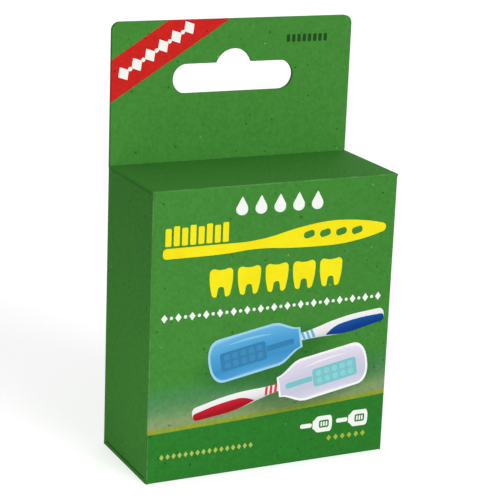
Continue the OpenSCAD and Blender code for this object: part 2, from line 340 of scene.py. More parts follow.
crease_1 = -HALF_W
crease_2 = crease_1 - 2 * HALF_D
crease_3 = crease_2 - 2 * HALF_W
crease_4 = crease_3 - (2 * HALF_D - BOARD)
back_foot = BOARD + FOOT_GAP
side_foot = 2 * BOARD + FOOT_GAP
back_corner = BOARD + CORNER_LIFT
side_corner = 2 * BOARD + FIT
flap_start = HALF_D - SIDE_FLAP_HALF - FIT
blank = [
    (HALF_W, back_foot, 0),
    (crease_1 + RELIEF, back_foot, 0),
    (crease_1 + RELIEF, back_corner, 0),
    (crease_1 - RELIEF, back_corner, 0),
    (crease_1 - RELIEF, side_corner, 0),
    (crease_1 - flap_start, side_corner, 0),
    (crease_1 - flap_start, side_foot, 0),
    (crease_2 + flap_start, side_foot, 0),
    (crease_2 + flap_start, side_corner, 0),
    (crease_2 + RELIEF, side_corner, 0),
    (crease_2 + RELIEF, CORNER_LIFT, 0),
    (crease_2 - RELIEF, CORNER_LIFT, 0),
    (crease_2 - RELIEF, FOOT_GAP, 0),
    (crease_3 + RELIEF, FOOT_GAP, 0),
    (crease_3 + RELIEF, CORNER_LIFT, 0),
    (crease_3 - RELIEF, CORNER_LIFT, 0),
    (crease_3 - RELIEF, side_corner, 0),
    (crease_3 - flap_start, side_corner, 0),
    (crease_3 - flap_start, side_foot, 0),
    (crease_4 + flap_start - BOARD, side_foot, 0),
    (crease_4 + flap_start - BOARD, side_corner, 0),
    (crease_4 + SEAM_GAP, side_corner, 0),
    (crease_4 + SEAM_GAP, SEAM_FOOT - SEAM_NOTCH, 0),
    (crease_4 + RELIEF, SEAM_FOOT - SEAM_NOTCH, 0),
    (crease_4 + RELIEF, SEAM_FOOT, 0),
    (crease_4 - RELIEF, SEAM_FOOT, 0),
    (crease_4 - SEAM_W, SEAM_FOOT + SEAM_SLANT, 0),
    (crease_4 - SEAM_W, SEAM_TOP - SEAM_SLANT, 0),
    (crease_4 - RELIEF, SEAM_TOP, 0),
    (crease_4 + RELIEF, SEAM_TOP, 0),
    (crease_4 + RELIEF, SEAM_TOP + SEAM_NOTCH, 0),
    (crease_4 + SEAM_GAP, SEAM_TOP + SEAM_NOTCH, 0),
    (crease_4 + SEAM_GAP, SIDE_TOP, 0),
    (crease_3 + RELIEF, SIDE_TOP, 0),
    (crease_3 + RELIEF, CARTON_TOP, 0),
    (crease_2 - RELIEF, CARTON_TOP, 0),
    (crease_2 - RELIEF, SIDE_TOP, 0),
    (crease_1 + RELIEF, SIDE_TOP, 0),
    (crease_1 + RELIEF, EAR_Z, 0),
    (crease_1 + EAR_INSET, EAR_Z, 0),
    (crease_1 + EAR_INSET, TAB_TOP, TAB_CORNER),
    (HALF_W, TAB_TOP, TAB_CORNER),
]
walls = bmesh.new()
add_outline(walls, blank)
bmesh.ops.translate(walls, vec=(0, HALF_D, 0), verts=walls.verts[:])
folds = []
for crease in (crease_1, crease_2, crease_3, crease_4):
    bmesh.ops.bisect_plane(
        walls,
        geom=walls.verts[:] + walls.edges[:] + walls.faces[:],
        plane_co=(crease, 0, 0),
        plane_no=(1, 0, 0),
    )
for crease in (crease_1, crease_2, crease_3, crease_4):
    folds.append(((crease, HALF_D, 0), "Z", [v for v in walls.verts if v.co.x < crease - HAIR]))
fold(walls, folds)
leave_plain(walls, lambda face: face.normal.xy.dot(face.calc_center_median().xy) < -0.1)
round_edges(walls, lambda co: abs(co.z - CARTON_TOP) < HAIR and co.y < 0, BEAD_R)
round_edges(walls, lambda co: abs(co.z - SIDE_TOP) < HAIR and abs(co.x) > HALF_W - 1, BEAD_R / 4)
wall_sheet = finish_piece(
    "carton_walls",
    walls,
    [printed, plain],
    "carton",
    ["front_panel", "left_side_panel", "right_side_panel", "back_panel", "glue_flap"],
)

# Hang tab. The back's rear ply and a front ply of the same board are glued face to face, the
# front one 6 mm down inside the carton, and both are punched together: a bar with round ends
# and a round bump for a single hook.
PLY_CLEAR = 0.2
PLY_INNER = HALF_W - CREASE_R - BOARD - PLY_CLEAR
PUNCH_L = 6
GLUE_H = 6.0
SLOT_HALF_W = 16.0
SLOT_LOW = 87.4
SLOT_HIGH = 94.6
BUMP_R = 5.0
BUMP_RISE = 3.3
slot_end_r = (SLOT_HIGH - SLOT_LOW) / 2 - 10 * HAIR
slot_corners = [
    (-SLOT_HALF_W, SLOT_LOW, slot_end_r),
    (SLOT_HALF_W, SLOT_LOW, slot_end_r),
    (SLOT_HALF_W, SLOT_HIGH, slot_end_r),
    (-SLOT_HALF_W, SLOT_HIGH, slot_end_r),
]
punch_bar = cut_board(slot_corners, PUNCH_L)
punch_bump = bmesh.new()
bmesh.ops.create_cone(
    punch_bump, cap_ends=True, segments=64, radius1=BUMP_R, radius2=BUMP_R, depth=PUNCH_L
)
bmesh.ops.rotate(
    punch_bump, cent=(0, 0, 0), matrix=Matrix.Rotation(math.pi / 2, 3, "X"), verts=punch_bump.verts[:]
)
bump_place = (0, PUNCH_L / 2, SLOT_HIGH + BUMP_RISE - BUMP_R)
bmesh.ops.translate(punch_bump, vec=bump_place, verts=punch_bump.verts[:])
punches = []
for die in (punch_bar, punch_bump):
    bmesh.ops.translate(die, vec=(0, HALF_D - PUNCH_L / 2, 0), verts=die.verts[:])
    bmesh.ops.scale(die, vec=(MM, MM, MM), verts=die.verts[:])
    die_data = bpy.data.meshes.new("punch")
    die.to_mesh(die_data)
    die.free()
    punches.append(bpy.data.objects.new("punch", die_data))
    bpy.context.scene.collection.objects.link(punches[-1])

ply_corners = [
    (-PLY_INNER, CARTON_TOP - GLUE_H, 0),
    (PLY_INNER, CARTON_TOP - GLUE_H, 0),
    (PLY_INNER, EAR_Z, 0),
    (HALF_W, EAR_Z, 0),
    (HALF_W, TAB_TOP, TAB_CORNER),
    (-HALF_W + EAR_INSET, TAB_TOP, TAB_CORNER),
    (-HALF_W + EAR_INSET, EAR_Z, 0),
    (-PLY_INNER, EAR_Z, 0),
]
ply = cut_board(ply_corners, BOARD)
bmesh.ops.translate(ply, vec=(0, HALF_D - 2 * BOARD, 0), verts=ply.verts[:])
leave_plain(ply, lambda face: face.normal.y > 0.7)
tab_ply = finish_piece(
    "hang_tab_ply", ply, [printed, plain], "carton", ["hang_tab_front_ply"]
)
for sheet in (wall_sheet, tab_ply):
    for die in punches:
        cut = sheet.modifiers.new("punch", "BOOLEAN")
        cut.operation = "DIFFERENCE"
        cut.solver = "EXACT"
        cut.object = die
    bpy.context.view_layer.update()
    depsgraph = bpy.context.evaluated_depsgraph_get()
    punched = bpy.data.meshes.new_from_object(sheet.evaluated_get(depsgraph))
    sheet.modifiers.clear()
    punched.name = sheet.name
    sheet.data = punched
for die in punches:
    bpy.data.objects.remove(die)

# Base. Four flaps, folded up from the walls' lower edges and glued: the outer one from the front,
# the inner one from the back, and the two short ones from the sides, on top. Ink has crept round
# the ends of the long ones.
EDGE_INSET = 0.02
INKED_END = HALF_W - 1.2
FLAP_CORNER = 0.3
LONG_HALF = HALF_W - EDGE_INSET
OUTER_L = 2 * HALF_D - 0.05
INNER_L = 2 * HALF_D - 0.7
SHORT_L = 22.9
for cad_node, half_across, out, level, reach, turn, slot_name in (
    ("base_outer_panel", LONG_HALF, HALF_D, 0, OUTER_L, 0, "printed_board"),
    ("base_inner_panel", LONG_HALF, HALF_D, BOARD, INNER_L, 180, "plain_board"),
    ("base_left_flap", SIDE_FLAP_HALF, HALF_W, 2 * BOARD, SHORT_L, -90, "plain_board"),
    ("base_right_flap", SIDE_FLAP_HALF, HALF_W, 2 * BOARD, SHORT_L, 90, "plain_board"),
):
    fold_half = min(half_across, HALF_W - RELIEF - FIT)
    flap = bmesh.new()
    add_outline(
        flap,
        [
            (-half_across, level - reach, FLAP_CORNER),
            (half_across, level - reach, FLAP_CORNER),
            (half_across, level - RELIEF, 0),
            (fold_half, level - RELIEF, 0),
            (fold_half, level + FOOT_GAP, 0),
            (-fold_half, level + FOOT_GAP, 0),
            (-fold_half, level - RELIEF, 0),
            (-half_across, level - RELIEF, 0),
        ],
    )
    bmesh.ops.translate(flap, vec=(0, -out, 0), verts=flap.verts[:])
    bmesh.ops.bisect_plane(
        flap,
        geom=flap.verts[:] + flap.edges[:] + flap.faces[:],
        plane_co=(0, 0, level),
        plane_no=(0, 0, 1),
    )
    fold(flap, [((0, -out, level), "X", [v for v in flap.verts if v.co.z < level - HAIR])])
    for end in (-INKED_END, INKED_END):
        bmesh.ops.bisect_plane(
            flap,
            geom=flap.verts[:] + flap.edges[:] + flap.faces[:],
            plane_co=(end, 0, 0),
            plane_no=(1, 0, 0),
        )
    leave_plain(
        flap, lambda face: face.normal.z > 0.3 and abs(face.calc_center_median().x) < INKED_END
    )
    bmesh.ops.rotate(
        flap, cent=(0, 0, 0), matrix=Matrix.Rotation(math.radians(turn), 3, "Z"), verts=flap.verts[:]
    )
    piece_name = cad_node.rsplit("_", 1)[0] + "_board"
    finish_piece(piece_name, flap, [printed, plain], "carton", [cad_node])

# Lid. It is creased off the front wall's top edge, lies on the dust flaps and ends in the tuck
# crease before the tab; both ends are round, as the board is where it folds.
LID_T = 0.68
LID_HALF = HALF_W - FIT
LID_FRONT = FIT - HALF_D
creases = {joint["name"]: joint["pos_m"] for joint in frame["joints"] if "pos_m" in joint}
tuck_y, tuck_z = (place / MM for place in creases["tuck_crease"][1:])
lid_rear = tuck_y + BOARD / 2
lid_corners = [
    (-LID_HALF, LID_FRONT, 0),
    (LID_HALF, LID_FRONT, 0),
    (LID_HALF, lid_rear, 0),
    (-LID_HALF, lid_rear, 0),
]
lid = cut_board(lid_corners, -LID_T, lying=True)
bmesh.ops.translate(lid, vec=(0, 0, CARTON_TOP), verts=lid.verts[:])
round_edges(lid, lambda co: co.y < LID_FRONT + HAIR or co.y > lid_rear - HAIR, BEAD_R)
leave_plain(lid, lambda face: face.normal.z < -0.7)
finish_piece("lid_board", lid, [printed, plain], "lid", ["lid_panel"])

# Tuck flap. It hangs from the lid's rear crease and leans into the carton; its corners are
# rounded so that it slides in.
TUCK_L = 9.0
TUCK_HALF = HALF_W - 1.5
TUCK_CORNER = 4.0
TUCK_LEAN = math.radians(20)
tuck_corners = [
    (-TUCK_HALF, -TUCK_L, TUCK_CORNER),
    (TUCK_HALF, -TUCK_L, TUCK_CORNER),
    (TUCK_HALF, BOARD / 2, 0),
    (-TUCK_HALF, BOARD / 2, 0),
]
tuck = cut_board(tuck_corners, BOARD)
round_edges(tuck, lambda co: co.z > BOARD / 2 - HAIR, BEAD_R)
bmesh.ops.translate(tuck, vec=(0, -BOARD / 2, 0), verts=tuck.verts[:])
leave_plain(tuck, lambda face: face.normal.y < -0.7)
bmesh.ops.rotate(tuck, cent=(0, 0, 0), matrix=Matrix.Rotation(-TUCK_LEAN, 3, "X"), verts=tuck.verts[:])
bmesh.ops.translate(tuck, vec=(0, tuck_y, tuck_z), verts=tuck.verts[:])
finish_piece("tuck_board", tuck, [printed, plain], "tuck", ["lid_tuck_flap"])

# Dust flaps. Folded in under the lid from each side wall, printed side up; the front corner is
# cut at 45 degrees and the rear corner clears the tuck flap.
DUST_START = -HALF_W
DUST_TIP = -16.5
DUST_FRONT = -12.4
DUST_NOSE = 2.25
DUST_REAR = 10.75
DUST_CLEAR = 4
DUST_CORNER = 1.5
for side, body in ((1, "left_dust"), (-1, "right_dust")):
    dust_corners = [
        (DUST_START, DUST_FRONT, 0),
        (DUST_TIP, DUST_NOSE, DUST_CORNER),
        (DUST_TIP, DUST_REAR - DUST_CLEAR, DUST_CORNER),
        (DUST_TIP - DUST_CLEAR, DUST_REAR, DUST_CORNER),
        (DUST_START, DUST_REAR, 0),
    ]
    dust = cut_board(dust_corners, -BOARD, lying=True)
    bmesh.ops.scale(dust, vec=(side, 1, 1), verts=dust.verts[:])
    bmesh.ops.recalc_face_normals(dust, faces=dust.faces[:])
    bmesh.ops.translate(dust, vec=(0, 0, SIDE_TOP), verts=dust.verts[:])
    round_edges(dust, lambda co: abs(co.x) > HALF_W - HAIR, BEAD_R)
    leave_plain(dust, lambda face: face.normal.z < -0.7)
    finish_piece(body + "_board", dust, [printed, plain], body, [body + "_flap"])

# Silicone covers. Each is one soft moulding, an open pouch with a rolled lip round its slanted
# mouth and a domed end. The tool's fine spark finish makes it satin, and its parting line runs up
# both sides; light enters the wall and comes out soft, so the clear one is milky.
COVER_L = 62.0
COVER_HALF_W = 14.95
COVER_HALF_D = 9.5
COVER_WALL = 1.4
MOUTH_HALF_W = 7.0
MOUTH_HALF_D = 5.25
MOUTH_SLANT = 5.5
MOUTH_SHIFT = 3.55
SHOULDER_L = 17.0
DOME_L = 9.0
LIP_L = 2.4
LIP_BEAD = 0.7
COVER_X = 15.4
COVER_Y = -2.1
COVER_Z = 1.8
CORNER_POWER = 0.625
DOME_POWER = 0.87
DOME_TURNS = (0, 15, 30, 44, 57, 69, 79)
DOME_LEAD = 18
RIDGE_HALF = (0.28, 0.06)
RIDGE_H = 0.12
HAZE_W = 11
SPARK_W = 0.2


def silicone(name, thin, thick, clearness):
    """Translucent moulded silicone, hazy in soft clouds where the wall's thickness varies. The
    spark finish is drawn coarser than life, so that it shows."""
    material, tree = new_material(name)
    place = node(tree, "TexCoord")["Object"]
    haze = node(tree, "TexNoise", {"Vector": place, "Scale": 1 / (HAZE_W * MM), "Detail": 2.0})["Fac"]
    colour = node(tree, "ValToRGB", {"Fac": haze}, [(0.35, thick), (0.65, thin)])["Color"]
    spark = node(tree, "TexNoise", {"Vector": place, "Scale": 1 / (SPARK_W * MM), "Detail": 2.0})["Fac"]
    relief = node(tree, "Bump", {"Strength": 0.35, "Distance": 0.01 * MM, "Height": spark})["Normal"]
    depth = node(tree, "SeparateXYZ", {"Vector": place})["Y"]
    off_line = node(tree, "Math", {0: depth, 1: -COVER_Y * MM}, operation="ADD")[0]
    off_line = node(tree, "Math", {0: off_line}, operation="ABSOLUTE")[0]
    ridge = node(tree, "MapRange", {0: off_line, 1: RIDGE_HALF[0] * MM, 2: RIDGE_HALF[1] * MM})[0]
    relief = node(tree, "Bump", {"Distance": RIDGE_H * MM, "Height": ridge, "Normal": relief})["Normal"]
    surface = node(
        tree,
        "BsdfPrincipled",
        {
            "Base Color": colour,
            "Roughness": 0.38,
            "IOR": 1.41,
            "Transmission Weight": clearness,
            "Subsurface Weight": 0.5,
            "Subsurface Radius": (1.0, 1.0, 1.0),
            "Subsurface Scale": 2 * MM,
            "Normal": relief,
        },
    )
    node(tree, "OutputMaterial", {"Surface": surface[0]})
    return material


def ease(u):
    """0 to 1 along a smooth S."""
    return u * u * (3 - 2 * u)


def shoulder(u, swell=0.0):
    """Height, half width, half depth, slant and shift of a ring between the mouth and the pouch."""
    grow = ease(u)
    return (
        u * SHOULDER_L,
        MOUTH_HALF_W + grow * (COVER_HALF_W - MOUTH_HALF_W) + swell,
        MOUTH_HALF_D + grow * (COVER_HALF_D - MOUTH_HALF_D) + swell,
        MOUTH_SLANT / MOUTH_HALF_D / 2 * (1 - u) ** 2,
        (1 - grow) * MOUTH_SHIFT,
    )


def dome(turn):
    """The same for a ring of the domed end, at an angle up from where the dome starts."""
    shrink = math.cos(turn) ** DOME_POWER
    height = COVER_L - DOME_L + DOME_L * math.sin(turn) ** DOME_POWER
    return height, COVER_HALF_W * shrink, COVER_HALF_D * shrink, 0, 0


def ring_place(height, half_w, half_d, slant, shift):
    """Matrix that puts the unit ring at a station along the cover."""
    lean = Matrix.Identity(4)
    lean[2][1] = -slant
    lift = MOUTH_SLANT / 2 + height * (1 - MOUTH_SLANT / 2 / COVER_L)
    return Matrix.Translation((0, shift, lift)) @ lean @ Matrix.Diagonal((half_w, half_d, 1, 1))


stations = [shoulder(i / 4 * LIP_L / SHOULDER_L, LIP_BEAD * math.sin(math.pi * i / 4)) for i in range(5)]
stations += [shoulder(i / 8) for i in range(2, 9)]
stations += [(COVER_L - DOME_L - DOME_LEAD, COVER_HALF_W, COVER_HALF_D, 0, 0)]
stations += [dome(math.radians(turn)) for turn in DOME_TURNS]
blue_silicone = silicone("moulded_silicone_blue", "#6CBBE6", "#55ABDB", 0.4)
milky_silicone = silicone("moulded_silicone_milky", "#FAF9FD", "#F3F1F9", 0.42)
for name, finish, slot_name, cover_x in (
    ("blue", blue_silicone, "blue_silicone", -COVER_X),
    ("clear", milky_silicone, "clear_silicone", COVER_X),
):
    pouch = bmesh.new()
    ring = bmesh.ops.create_circle(pouch, segments=44, radius=1)["verts"]
    for v in ring:
        v.co.x = math.copysign(abs(v.co.x) ** CORNER_POWER, v.co.x)
        v.co.y = math.copysign(abs(v.co.y) ** CORNER_POWER, v.co.y)
    edges = pouch.edges[:]
    placed = ring_place(*stations[0])
    bmesh.ops.transform(pouch, matrix=placed, verts=ring)
    for station in stations[1:]:
        grown = bmesh.ops.extrude_edge_only(pouch, edges=edges)["geom"]
        ring = [g for g in grown if isinstance(g, bmesh.types.BMVert)]
        edges = [g for g in grown if isinstance(g, bmesh.types.BMEdge)]
        following = ring_place(*station)
        bmesh.ops.transform(pouch, matrix=following @ placed.inverted(), verts=ring)
        placed = following
    grown = bmesh.ops.extrude_edge_only(pouch, edges=edges)["geom"]
    tip = [g for g in grown if isinstance(g, bmesh.types.BMVert)]
    bmesh.ops.pointmerge(pouch, verts=tip, merge_co=(0, 0, COVER_L))
    bmesh.ops.recalc_face_normals(pouch, faces=pouch.faces[:])
    if name == "clear":
        turned = Matrix.Translation((0, 0, COVER_L)) @ Matrix.Rotation(math.pi, 4, "Y")
        bmesh.ops.transform(pouch, matrix=turned, verts=pouch.verts[:])
    bmesh.ops.translate(pouch, vec=(cover_x, COVER_Y, COVER_Z), verts=pouch.verts[:])
    cover = finish_piece(name + "_cover_moulding", pouch, [finish], name, [name + "_cover"], 180)
    wall = cover.modifiers.new("wall", "SOLIDIFY")
    wall.thickness = COVER_WALL * MM
    wall.offset = -1
    wall.use_even_offset = True
    smooth = cover.modifiers.new("smooth", "SUBSURF")
    smooth.levels = 2
    smooth.render_levels = 2

# Printed signs. Opaque offset inks on the green, drawn as films a hundredth of a millimetre thick,
# one layer over another: plain signs of the kind that a pack carries, in rows of like size.
FILM = 0.01
FRONT_Y = -HALF_D
TAB_Y = HALF_D - 2 * BOARD
INK_GLOSS = {"Roughness": 0.55, "Specular IOR Level": 0.06}


def ink(name, colour, second=None, patch=6.0):
    """Offset ink that covers a little unevenly; a second colour shows in patches of patch mm."""
    material, tree = new_material(name)
    place = node(tree, "TexCoord")["Object"]
    cloud = node(tree, "TexNoise", {"Vector": place, "Scale": 1 / (patch * MM), "Detail": 3.0})["Fac"]
    tone = node(tree, "ValToRGB", {"Fac": cloud}, [(0.35, second or colour), (0.65, colour)])["Color"]
    grain = node(tree, "TexNoise", {"Vector": place, "Scale": 1 / (0.4 * MM), "Detail": 2.0})["Fac"]
    shade = node(tree, "MapRange", {0: grain, 1: 0.3, 2: 0.7, 3: 0.97, 4: 1.0})[0]
    tone = node(tree, "Mix", {0: 1.0, 6: tone, 7: shade}, data_type="RGBA", blend_type="MULTIPLY")[2]
    relief = board_fibres(tree, place, FILM * MM)
    surface = node(tree, "BsdfPrincipled", {"Base Color": tone, "Normal": relief, **INK_GLOSS})
    node(tree, "OutputMaterial", {"Surface": surface[0]})
    return material


def printed_motif(name, finish, shapes, layer=1, surface=FRONT_Y):
    """Ink film in the given outlines, each a list of corners (x, z, radius) in millimetres."""
    film = bmesh.new()
    for corners in shapes:
        one = cut_board(corners, FILM * (layer + 1))
        part = bpy.data.meshes.new("part")
        one.to_mesh(part)
        one.free()
        film.from_mesh(part)
        bpy.data.meshes.remove(part)
    bmesh.ops.translate(film, vec=(0, surface - FILM * layer, 0), verts=film.verts[:])
    return finish_piece(name, film, [finish], "carton")


def moved(shape, x, z, turn=0.0, wide=1.0, high=1.0):
    """The same outline, scaled, turned by degrees and set down at x, z."""
    c, s = math.cos(math.radians(turn)), math.sin(math.radians(turn))
    placed = []
    for px, pz, radius in shape:
        px, pz = px * wide, pz * high
        placed.append((x + px * c - pz * s, z + px * s + pz * c, radius * min(abs(wide), abs(high))))
    return placed


def lozenge(w, h):
    """Standing lozenge about the origin, w by h."""
    return [(-w / 2, 0, 0.1), (0, -h / 2, 0.1), (w / 2, 0, 0.1), (0, h / 2, 0.1)]


def bar(w, h, radius):
    """Round-cornered bar about the origin, w by h."""
    signs = ((-1, -1), (1, -1), (1, 1), (-1, 1))
    return [(a * w / 2, b * h / 2, radius) for a, b in signs]


# Outline of a cover lying on its side, mouth to the left, 1 long and 1 wide
rings = [shoulder(i / 5)[:2] for i in range(6)]
rings += [dome(math.radians(turn))[:2] for turn in range(0, 90, 10)]
side_line = [(height / COVER_L - 0.5, half / COVER_HALF_W / 2, 0) for height, half in rings]
COVER_SIGN = [(x, -z, 0) for x, z, _ in side_line] + [(0.5, 0, 0)] + side_line[::-1]

yellow = ink("offset_ink_yellow", "#FFF21C", "#FDEB16")
white = ink("offset_ink_white", "#FBFFF8")
lime = ink("offset_ink_lime", "#A9BE3C")
pale_lime = ink("offset_ink_pale_lime", "#B6C860")
dark = ink("offset_ink_dark_green", "#1F4A1C")
DROPLET = [
    (0, 2.35, 0.25),
    (1.75, -0.75, 0.9),
    (0.95, -2.2, 0.9),
    (-0.95, -2.2, 0.9),
    (-1.75, -0.75, 0.9),
]
printed_motif("print_droplets", white, [moved(DROPLET, 0.4 + 4.9 * i, 66.1) for i in range(-2, 3)])
BRUSH = [
    (-29, 54.9, 1.0),
    (-13, 54.9, 4),
    (-5, 55.7, 5),
    (8, 54.5, 8),
    (21, 55.0, 8),
    (29.2, 57.2, 0.9),
    (29.2, 58.9, 0.9),
    (21, 61.2, 8),
    (8, 60.4, 8),
    (-5, 57.3, 5),
    (-13, 57.4, 2),
    (-29, 57.4, 1.0),
]
tufts = [
    moved(bar(1.5, 4.2 + 0.5 * (i % 2), 0.3), -27.7 + 2.05 * i, 60.0 + 0.25 * (i % 2)) for i in range(8)
]
printed_motif("print_brush_sign", yellow, [BRUSH] + tufts)
grip_marks = [moved(bar(2.9, 1.7, 0.8), 8.4 + 4.3 * i, 57.9, 14) for i in range(4)]
printed_motif("print_brush_grip", printed, grip_marks, layer=2)


def cover_signs(name, finish, places, length, width):
    """Row of covers on brush necks: pouch and neck in the finish, a window, and tufts behind it."""
    pouches = [moved(COVER_SIGN, x, z, 0, length, width) for x, z in places]
    necks = [moved(bar(3.2, 1.1, 0.5), x - length / 2 - 1.8, z) for x, z in places]
    window = bar(length * 0.5, width * 0.46, width * 0.1)
    tuft = bar(length * 0.08, width * 0.28, 0.1)
    rows = [moved(tuft, x + length * (0.08 + 0.13 * i), z) for x, z in places for i in (-1, 0, 1)]
    printed_motif(name, finish, pouches + necks)
    printed_motif(name + "_windows", printed, [moved(window, x + length * 0.08, z) for x, z in places], 2)
    printed_motif(name + "_tufts", finish, rows, 3)


TOOTH = [
    (-2.9, 3.5, 1.3),
    (0, 2.7, 1.2),
    (2.9, 3.5, 1.3),
    (3.1, 0.2, 1.8),
    (2.2, -3.7, 0.7),
    (1.1, -3.7, 0.4),
    (0.7, -1.2, 0.6),
    (-0.7, -1.2, 0.6),
    (-1.1, -3.7, 0.4),
    (-2.2, -3.7, 0.7),
    (-3.1, 0.2, 1.8),
]
printed_motif("print_tooth_signs", yellow, [moved(TOOTH, 0.3 + 7.2 * i, 48.3) for i in range(-2, 3)])
small_marks = [moved(lozenge(1.6, 2.1), -28.2 + 3.52 * i, 40.7) for i in range(17)]
small_marks += [moved(bar(0.8, 0.8, 0.35), -26.44 + 3.52 * i, 40.7) for i in range(16)]
printed_motif("print_small_rule", white, small_marks)
cover_signs("print_pair_signs", white, [(14.6, 9.2), (24.5, 9.5)], 5.4, 4.2)
pair_marks = [moved(lozenge(1.3, 1.6), 16.6 + 1.9 * i, 5.3) for i in range(6)]
printed_motif("print_pair_rule", lime, pair_marks)
foot_marks = [moved(lozenge(1.1, 1.5), -28 + 1.55 * i, 6.4) for i in range(16)]
printed_motif("print_foot_rule", pale_lime, foot_marks)
tab_marks = [moved(bar(0.9, 1.9, 0.3), 14.4 + 1.45 * i, 99.9) for i in range(8)]
printed_motif("print_tab_marks", dark, tab_marks, surface=TAB_Y)
BAND_MARKS_Z = 90.95
BAND_STEP = 3.9
BAND_MARKS_END = 24
band_c, band_s = math.cos(math.radians(BAND_TURN)), math.sin(math.radians(BAND_TURN))
band_marks = [
    moved(shape, -HALF_W + d * band_c, BAND_MARKS_Z + d * band_s, BAND_TURN)
    for start, shape in ((3.7, lozenge(3.1, 3.7)), (5.65, bar(1.0, 1.0, 0.45)))
    for d in [start + BAND_STEP * i for i in range(6)]
    if d < BAND_MARKS_END
]
printed_motif("print_band_marks", white, band_marks, surface=TAB_Y)

# Printed picture. Two covered brushes lie head to tail above the rule, in several layers of ink:
# handle, soft grip, cover, the brush head that shows through it, and a shine. Their soft shadow
# is part of the green below. Each is drawn about its cover's middle, with the mouth to the left.
PICTURE_TURN = 10
COVER_PRINT_L = 24.6
COVER_PRINT_W = 11.0
GRIP_END = -35.0
HANDLE_L = 60
HANDLE_W = 5.0
SHADOW_SHIFT = (3, -2)
SHADOW_HALF = (18, 6.4)
SHADOW_GREEN = "#23602A"
SHADOW_DEPTH = 0.55
HANDLE_TONES = [(0.1, "#C6C8CC"), (0.45, "#ECEDEC"), (0.8, "#FBFBF9")]
BLUE_BRUSH = {
    "name": "blue",
    "place": (-4.5, 30.3),
    "flip": -1,
    "grip": [(0.2, "#0C3B86"), (0.5, "#1450A0"), (0.7, "#3A78C4")],
    "cover": [
        (0.02, "#8FCDEE"),
        (0.1, "#4FA2D6"),
        (0.3, "#3F93CB"),
        (0.62, "#4FA2D8"),
        (0.88, "#68B6E4"),
        (0.97, "#A4D8F3"),
    ],
    "head": "#3884B6",
    "tuft": "#468FC0",
    "shine": "#8CCAEC",
    "stripe": "#6FB4E0",
}
RED_BRUSH = {
    "name": "clear",
    "place": (14.0, 22.4),
    "flip": 1,
    "grip": [(0.2, "#A81422"), (0.5, "#CC2030"), (0.7, "#E4505A")],
    "cover": [
        (0.02, "#FFFFFF"),
        (0.1, "#DAD8EA"),
        (0.3, "#CDCDE2"),
        (0.62, "#D8D2E6"),
        (0.88, "#E6E0F0"),
        (0.97, "#FFFFFF"),
    ],
    "head": "#7CCBD2",
    "tuft": "#93D6DB",
    "shine": "#F6F2FC",
    "stripe": "#E0404C",
}
HANDLE = [
    (-10.5, -0.8, 0.3),
    (-16.5, -1.2, 3),
    (-23.5, -2.5, 5),
    (GRIP_END, -1.9, 1.2),
    (GRIP_END, 1.3, 1.2),
    (-23.5, 2.2, 5),
    (-16.5, 1.2, 3),
    (-10.5, 0.8, 0.3),
]
SOFT_GRIP = [
    (-18.6, -1.35, 0.6),
    (-24.0, -2.5, 3),
    (GRIP_END + 0.1, -1.95, 0.8),
    (GRIP_END + 0.1, -0.2, 0.6),
    (-27, 0.7, 4),
    (-21.5, 0.3, 2),
]
SHINE = [(-5.5, 2.9, 0.3), (0.5, 4.0, 3), (7.5, 3.4, 0.5), (0.5, 3.3, 3)]
STRIPE = [(px + 0.25 * pz, pz, radius) for px, pz, radius in bar(0.7, 2.2, 0.25)]
COVER_RIM = [(px * COVER_PRINT_L, pz * COVER_PRINT_W, 0) for px, pz, _ in COVER_SIGN]
COVER_WITHIN = [(px * 0.955, pz * 0.9, 0) for px, pz, _ in COVER_RIM]


def moulded_ink(name, x, z, long, wide, stops):
    """Ink screened from edge to edge of a shape, so that the flat shape looks rounded."""
    material, tree = new_material(name)
    place = node(tree, "TexCoord")["Object"]
    across = node(
        tree,
        "Mapping",
        {
            "Vector": place,
            "Location": (x * MM, 0, z * MM),
            "Rotation": (0, -math.radians(PICTURE_TURN), 0),
            "Scale": (long * MM, 1, wide * MM),
        },
        vector_type="TEXTURE",
    )[0]
    u, _, v = node(tree, "SeparateXYZ", {"Vector": across})
    bend = node(tree, "Math", {0: u, 1: 2.0}, operation="POWER")[0]
    height = node(tree, "Math", {0: bend, 1: 0.35, 2: v}, operation="MULTIPLY_ADD")[0]
    fall = node(tree, "MapRange", {0: height, 1: -0.5, 2: 0.55})[0]
    tone = node(tree, "ValToRGB", {"Fac": fall}, stops)["Color"]
    relief = board_fibres(tree, place, FILM * MM)
    surface = node(tree, "BsdfPrincipled", {"Base Color": tone, "Normal": relief, **INK_GLOSS})
    node(tree, "OutputMaterial", {"Surface": surface[0]})
    return material


def laid(shape, brush, dx=0.0, dz=0.0):
    """Sets a shape down in the picture, with the mouth to the right where the brush is flipped."""
    turned = [((px + dx) * brush["flip"], pz + dz, radius) for px, pz, radius in shape]
    return moved(turned, *brush["place"], PICTURE_TURN)


